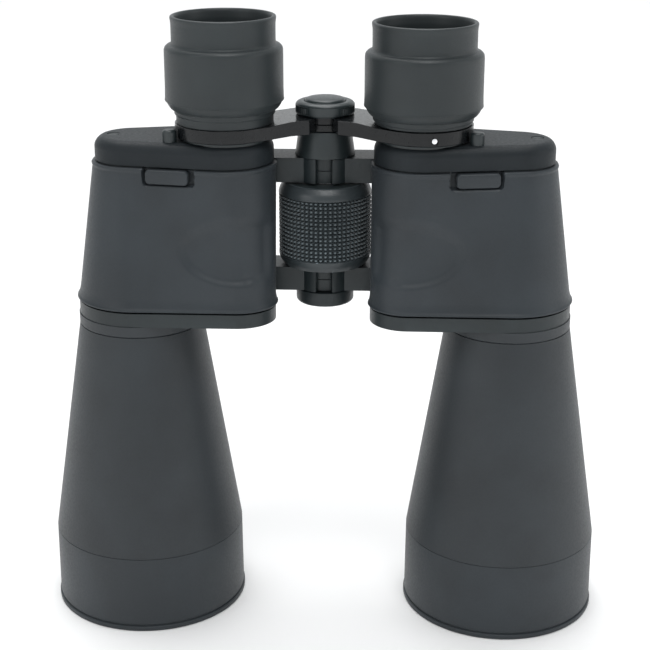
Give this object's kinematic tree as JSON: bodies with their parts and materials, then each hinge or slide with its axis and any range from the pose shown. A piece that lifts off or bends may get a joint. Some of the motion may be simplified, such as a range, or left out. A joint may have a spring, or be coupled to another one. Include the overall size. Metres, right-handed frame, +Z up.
{
  "type": "binoculars",
  "caption": "Large Porro-prism binoculars with rubber armour, long conical objective tubes, a centre focusing wheel and fold-down eyecups, standing on their objective mouths.",
  "frame": {"origin": "on the table, midway between the two objective mouths that the binoculars stand on", "axes": "+Z up along the optical axes towards the eyepieces, +X towards the diopter (right) eyepiece, +Y towards the hinge side"},
  "size_m": [0.2004, 0.07, 0.2153],
  "materials": {
    "armour_rubber": "matte, fine moulded grain",
    "eyecup_rubber": "matte",
    "wheel_rubber": "matte, knurled",
    "black_casting": "satin black paint with fine grain",
    "satin_black": "satin",
    "bare_metal": "machined",
    "spring_steel": "brushed",
    "brass_insert": "machined",
    "bright_screw": "polished",
    "coated_glass": "magenta-blue anti-reflection coating",
    "clear_glass": "polished"
  },
  "bodies": {
    "left_half": {"left_prism_housing": "black_casting", "left_rubber_armour": "armour_rubber", "left_strap_lug": "satin_black", "left_bottom_plate": "black_casting", "left_top_cover": "black_casting", "left_eyepiece_guide": "satin_black", "left_cover_screws": "satin_black", "left_prism_shelf": "bare_metal", "left_prism_clips": "spring_steel", "left_objective_tube": "satin_black", "left_objective_sleeve": "armour_rubber", "left_tube_collar": "satin_black", "left_lens_cell": "satin_black", "left_retaining_ring": "satin_black", "left_crown_lens": "coated_glass", "left_flint_lens": "clear_glass", "left_upper_prism": "clear_glass", "left_lower_prism": "clear_glass", "hinge_tube": "bare_metal", "tripod_boss": "black_casting", "tripod_insert": "brass_insert", "hinge_collar": "satin_black"},
    "right_half": {"right_prism_housing": "black_casting", "right_rubber_armour": "armour_rubber", "right_strap_lug": "satin_black", "right_bottom_plate": "black_casting", "right_top_cover": "black_casting", "right_eyepiece_guide": "satin_black", "right_cover_screws": "satin_black", "right_prism_shelf": "bare_metal", "right_prism_clips": "spring_steel", "right_objective_tube": "satin_black", "right_objective_sleeve": "armour_rubber", "right_tube_collar": "satin_black", "right_lens_cell": "satin_black", "right_retaining_ring": "satin_black", "right_crown_lens": "coated_glass", "right_flint_lens": "clear_glass", "right_upper_prism": "clear_glass", "right_lower_prism": "clear_glass"},
    "focus_wheel": {"focus_wheel_core": "satin_black", "focus_wheel_grip": "wheel_rubber"},
    "left_carriage": {"left_bridge_arm": "satin_black", "focus_shaft": "bare_metal", "drive_pin": "bare_metal", "bridge_cap": "satin_black", "cap_disc": "satin_black", "left_ocular_barrel": "satin_black", "left_field_lens": "clear_glass", "left_eye_lens": "coated_glass", "left_grip_ring": "satin_black", "left_eyecup": "eyecup_rubber"},
    "right_carriage": {"right_bridge_arm": "satin_black", "ocular_sleeve": "bare_metal", "stop_screw": "bright_screw"},
    "right_ocular": {"right_ocular_barrel": "satin_black", "right_field_lens": "clear_glass", "right_eye_lens": "coated_glass"},
    "diopter_grip": {"diopter_ring": "satin_black", "right_eyecup": "eyecup_rubber"}
  },
  "joints": [
    {"name": "ipd_hinge", "type": "hinge", "parent": "left_half", "child": "right_half", "pos_m": [0, 0.01, 0.14], "axis": [0, 0, 1], "range_deg": [-34, 24]},
    {"name": "left_focus_slide", "type": "slide", "parent": "left_half", "child": "left_carriage", "axis": [0, 0, 1], "range_m": [0, 0.008]},
    {"name": "right_focus_slide", "type": "slide", "parent": "right_half", "child": "right_carriage", "axis": [0, 0, 1], "range_m": [0, 0.008]},
    {"name": "focus_turn", "type": "hinge", "parent": "left_half", "child": "focus_wheel", "pos_m": [0, 0.01, 0.14], "axis": [0, 0, 1], "range_deg": [0, 360]},
    {"name": "diopter_slide", "type": "slide", "parent": "right_carriage", "child": "right_ocular", "axis": [0, 0, 1], "range_m": [0, 0.004]},
    {"name": "diopter_turn", "type": "hinge", "parent": "right_ocular", "child": "diopter_grip", "pos_m": [0.0338, 0, 0.19], "axis": [0, 0, 1], "range_deg": [0, 240]}
  ],
  "couplings": [
    {"joint": "focus_turn", "follows": "left_focus_slide", "rad_per_m": 785.39},
    {"joint": "right_focus_slide", "follows": "left_focus_slide", "ratio": 1},
    {"joint": "diopter_turn", "follows": "diopter_slide", "rad_per_m": 1047.2}
  ]
}
